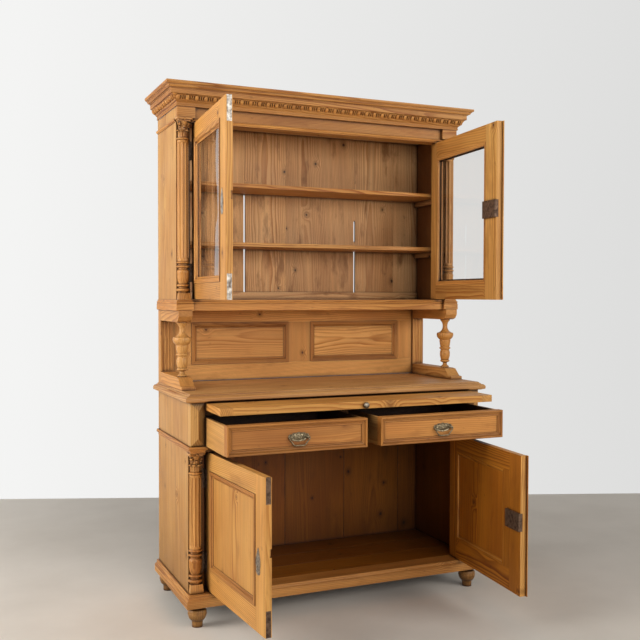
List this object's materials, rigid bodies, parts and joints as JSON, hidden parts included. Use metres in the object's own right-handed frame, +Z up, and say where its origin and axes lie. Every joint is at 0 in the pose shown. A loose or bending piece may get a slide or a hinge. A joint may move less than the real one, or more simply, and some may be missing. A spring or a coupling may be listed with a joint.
{
  "type": "dresser cupboard",
  "caption": "Two-part pine dresser: panelled base with drawers and pull-out board, open gallery on turned balusters, glazed top between fluted columns.",
  "frame": {"origin": "on the floor at the centre of the four feet", "axes": "+X to the right seen from the front, +Y to the back, +Z up"},
  "size_m": [1.426, 1.0713, 2.15],
  "materials": {
    "pine_case": "waxed",
    "pine_turned": "waxed",
    "pine_moulding": "waxed",
    "pine_inside": "bare",
    "pine_front": "waxed",
    "iron": "aged",
    "bright_steel": "worn",
    "aged_brass": "aged",
    "nickel": "satin",
    "glass": "clear"
  },
  "bodies": {
    "carcass": {"base_sides": "pine_case", "upper_sides": "pine_case", "corner_stiles": "pine_case", "gallery_sides": "pine_case", "gallery_back_frame": "pine_case", "gallery_panels": "pine_case", "drawer_rails": "pine_case", "frieze": "pine_case", "feet": "pine_turned", "base_columns": "pine_turned", "upper_columns": "pine_turned", "balusters": "pine_turned", "corner_blocks": "pine_turned", "plinth_moulding": "pine_moulding", "belt_moulding": "pine_moulding", "waist_moulding": "pine_moulding", "cornice_mouldings": "pine_moulding", "cornice_bead_course": "pine_moulding", "worktop": "pine_moulding", "base_floor": "pine_inside", "base_back_boards": "pine_inside", "upper_back_boards": "pine_inside", "upper_shelves": "pine_inside", "shelf_cleats": "pine_inside", "drawer_runners": "pine_inside", "upper_top_and_floor": "pine_inside", "carcass_hinges": "iron"},
    "lower_left_door": {"lower_left_door_frame": "pine_front", "lower_left_door_panel": "pine_front", "lower_left_door_moulding": "pine_front", "lower_left_door_ironwork": "iron"},
    "lower_right_door": {"lower_right_door_frame": "pine_front", "lower_right_door_panel": "pine_front", "lower_right_door_moulding": "pine_front", "lower_right_door_ironwork": "iron"},
    "upper_left_door": {"upper_left_door_frame": "pine_front", "upper_left_door_glass": "glass", "upper_left_door_beads": "pine_front", "upper_left_door_ironwork": "iron"},
    "upper_right_door": {"upper_right_door_frame": "pine_front", "upper_right_door_glass": "glass", "upper_right_door_beads": "pine_front", "upper_right_door_ironwork": "iron"},
    "drawer_left": {"drawer_left_box": "pine_inside", "drawer_left_front": "pine_front", "drawer_left_pull_plate": "aged_brass"},
    "drawer_left_handle": {"drawer_left_bail": "aged_brass"},
    "drawer_right": {"drawer_right_box": "pine_inside", "drawer_right_front": "pine_front", "drawer_right_pull_plate": "aged_brass"},
    "drawer_right_handle": {"drawer_right_bail": "aged_brass"},
    "pull_out_board": {"slide_board": "pine_front", "slide_board_knob": "nickel"},
    "lower_left_top_bolt_body": {"lower_left_top_bolt": "iron"},
    "lower_left_bottom_bolt_body": {"lower_left_bottom_bolt": "iron"},
    "upper_left_top_bolt_body": {"upper_left_top_bolt": "bright_steel"},
    "upper_left_bottom_bolt_body": {"upper_left_bottom_bolt": "bright_steel"},
    "lower_right_lock_bolt_body": {"lower_right_lock_bolt": "iron"},
    "upper_right_lock_bolt_body": {"upper_right_lock_bolt": "iron"}
  },
  "joints": [
    {"name": "lower_left_door_hinge", "type": "hinge", "parent": "carcass", "child": "lower_left_door", "pos_m": [-0.59, -0.2015, 0.41], "axis": [0, 0, -1], "range_deg": [-86, 12]},
    {"name": "lower_right_door_hinge", "type": "hinge", "parent": "carcass", "child": "lower_right_door", "pos_m": [0.59, -0.2015, 0.41], "axis": [0, 0, 1], "range_deg": [-85, 13]},
    {"name": "upper_left_door_hinge", "type": "hinge", "parent": "carcass", "child": "upper_left_door", "pos_m": [-0.59, -0.0265, 1.64], "axis": [0, 0, -1], "range_deg": [-94, 4]},
    {"name": "upper_right_door_hinge", "type": "hinge", "parent": "carcass", "child": "upper_right_door", "pos_m": [0.59, -0.0265, 1.64], "axis": [0, 0, 1], "range_deg": [-85, 13]},
    {"name": "drawer_left_slide", "type": "slide", "parent": "carcass", "child": "drawer_left", "axis": [0, -1, 0], "range_m": [-0.28, 0.06]},
    {"name": "drawer_right_slide", "type": "slide", "parent": "carcass", "child": "drawer_right", "axis": [0, -1, 0], "range_m": [-0.28, 0.06]},
    {"name": "pull_out_board_slide", "type": "slide", "parent": "carcass", "child": "pull_out_board", "axis": [0, -1, 0], "range_m": [-0.202, 0.102]},
    {"name": "drawer_left_bail_hinge", "type": "hinge", "parent": "drawer_left", "child": "drawer_left_handle", "pos_m": [-0.3125, -0.5395, 0.771], "axis": [-1, 0, 0], "range_deg": [0, 75]},
    {"name": "drawer_right_bail_hinge", "type": "hinge", "parent": "drawer_right", "child": "drawer_right_handle", "pos_m": [0.3125, -0.5395, 0.771], "axis": [-1, 0, 0], "range_deg": [0, 75]},
    {"name": "lower_left_top_bolt_slide", "type": "slide", "parent": "lower_left_door", "child": "lower_left_top_bolt_body", "axis": [0, 0, -1], "range_m": [-0.012, 0]},
    {"name": "lower_left_bottom_bolt_slide", "type": "slide", "parent": "lower_left_door", "child": "lower_left_bottom_bolt_body", "axis": [0, 0, 1], "range_m": [-0.012, 0]},
    {"name": "upper_left_top_bolt_slide", "type": "slide", "parent": "upper_left_door", "child": "upper_left_top_bolt_body", "axis": [0, 0, -1], "range_m": [-0.012, 0]},
    {"name": "upper_left_bottom_bolt_slide", "type": "slide", "parent": "upper_left_door", "child": "upper_left_bottom_bolt_body", "axis": [0, 0, 1], "range_m": [-0.012, 0]},
    {"name": "lower_right_lock_bolt_slide", "type": "slide", "parent": "lower_right_door", "child": "lower_right_lock_bolt_body", "axis": [0.0872, 0.9962, 0], "range_m": [-0.009, 0]},
    {"name": "upper_right_lock_bolt_slide", "type": "slide", "parent": "upper_right_door", "child": "upper_right_lock_bolt_body", "axis": [0.0872, 0.9962, 0], "range_m": [-0.009, 0]}
  ]
}
